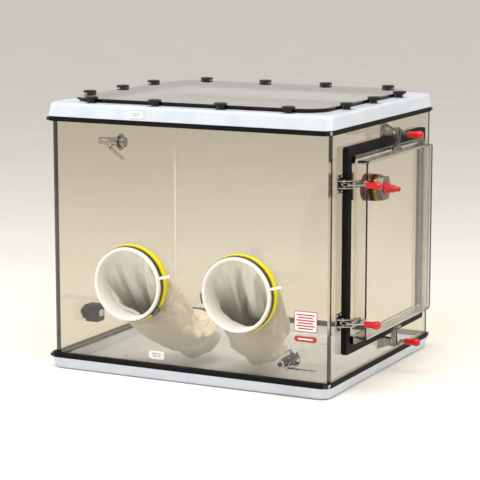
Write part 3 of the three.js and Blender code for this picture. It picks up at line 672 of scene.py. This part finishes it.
def plaque(name, body, centre, right, up, layers):
    """A moulded or printed plate of stacked rounded rectangles, as one piece: each layer is
    (offset right, offset up, width, height, corner, low, high, material), in mm."""
    out = right.cross(up)
    mesh = bmesh.new()
    finishes = []
    for across, rise, width, height, corner, low, high, material in layers:
        if material not in finishes:
            finishes.append(material)
        rims = []
        for level, shrink in ((low, 0), (high - 0.1, 0), (high, 0.1)):
            rims.append([mesh.verts.new(centre + (right * (across + x) + up * (rise + y) + out * level) * MM)
                         for x, y in block_outline(width - 2 * shrink, height - 2 * shrink, corner)])
        made = [mesh.faces.new(rims[-1]), mesh.faces.new(list(reversed(rims[0])))]
        for near, far in zip(rims, rims[1:]):
            for k in range(len(near)):
                j = (k + 1) % len(near)
                made.append(mesh.faces.new((near[k], near[j], far[j], far[k])))
        for face in made:
            face.material_index = finishes.index(material)
    data = bpy.data.meshes.new(name)
    mesh.to_mesh(data)
    mesh.free()
    for material in finishes:
        data.materials.append(material)
    piece = bpy.data.objects.new(name, data)
    scene.collection.objects.link(piece)
    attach(piece, body)
    return piece


def printed_white():
    """White printed polyester label: flat, even, satin."""
    return grained("white_printed_polyester", ("E9E9E7", "F1F1EF"), 8, (0.4, 0.5), 0, IOR=1.5)


def printed_grey():
    """Grey printing ink: flat and even."""
    return grained("grey_printing_ink", ("8C9098", "989CA4"), 8, (0.5, 0.6), 0, IOR=1.5)


def printed_red():
    """Red printing ink: flat, satin."""
    return grained("red_printing_ink", ("B02A22", "C03A30"), 8, (0.45, 0.55), 0, IOR=1.5)


label_white, label_grey, label_red = printed_white(), printed_grey(), printed_red()
dress(moulded_black, "power_outlet", bevel_mm=0.6)
inlet_low, inlet_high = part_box("power_outlet")
inlet_face = Vector((inlet_high.x, (inlet_low.y + inlet_high.y) / 2, (inlet_low.z + inlet_high.z) / 2))
plaque("inlet_socket", "chamber", inlet_face, Vector((0, 1, 0)), UP, [
    (0, 0, 21, 17, 4, -1.0, 0.6, label_white),
    # The three pin slots: raised black blocks, painted shade standing for the dark holes.
    (0, 3.4, 2, 5, 0.6, 0.6, 0.75, moulded_black),
    (-5.5, -2.2, 2, 5, 0.6, 0.6, 0.75, moulded_black),
    (5.5, -2.2, 2, 5, 0.6, 0.6, 0.75, moulded_black)])

# ------------------------------------------------------------------------------------------------
# Labels. Printed polyester stickers with plain bars in place of any wording: one on the cover, one
# low on the front panel, and two red ones near the door.

front_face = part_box("front_panel")[0].y
cover_low, cover_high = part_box("top_cover")
FRONT_RIGHT = Vector((1, 0, 0))


def bars(count, width, rise, step, corner=0.3):
    """Short printed bars, one under another, where a line of words would be."""
    return [(0, rise - step * k, width * (1.0 if k % 2 == 0 else 0.8), step * 0.45, corner, 0.35, 0.42,
             label_grey) for k in range(count)]


for side in ("left", "right"):
    strap_low, strap_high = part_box(f"band_clamp_{side}")
    hub = middle(f"port_ring_{side}")
    lean = Vector((math.cos(math.radians(14)), 0, math.sin(math.radians(14))))
    plaque(f"strap_tail_{side}", "chamber",
           Vector((hub.x, strap_low.y - 0.5 * MM, hub.z)) + lean * 0.112,
           lean, lean.cross(FRONT_RIGHT.cross(UP)) * -1,
           [(0, 0, 34, 7, 3, -0.8, 0.8, label_white)])

plaque("cover_label", "chamber",
       Vector((-0.135, cover_low.y - 0.1 * MM, (cover_low.z + cover_high.z) / 2 - 3 * MM)), FRONT_RIGHT, UP,
       [(0, 0, 44, 17, 6, -2.0, 0.35, label_white)] + bars(2, 26, 2.5, 5))
plaque("panel_label", "chamber", Vector((-0.09, front_face, 0.064)), FRONT_RIGHT, UP,
       [(0, 0, 46, 22, 7, 0.05, 0.35, label_white)] + bars(2, 28, 3.5, 6))
plaque("red_notice", "chamber", Vector((0.338, front_face, 0.1945)), FRONT_RIGHT, UP,
       [(0, 0, 64, 53, 2, 0.05, 0.25, label_red), (0, 0, 60, 49, 1.5, 0.25, 0.33, label_white)]
       + [(0, 17 - 7 * k, 50 - 8 * (k % 2), 3.4, 0.4, 0.33, 0.4, label_red) for k in range(6)])
plaque("red_pill", "chamber", Vector((0.338, front_face, 0.1495)), FRONT_RIGHT, UP,
       [(0, 0, 62, 15, 7, 0.05, 0.35, label_red), (0, 0, 40, 4, 0.5, 0.35, 0.42, label_white)])
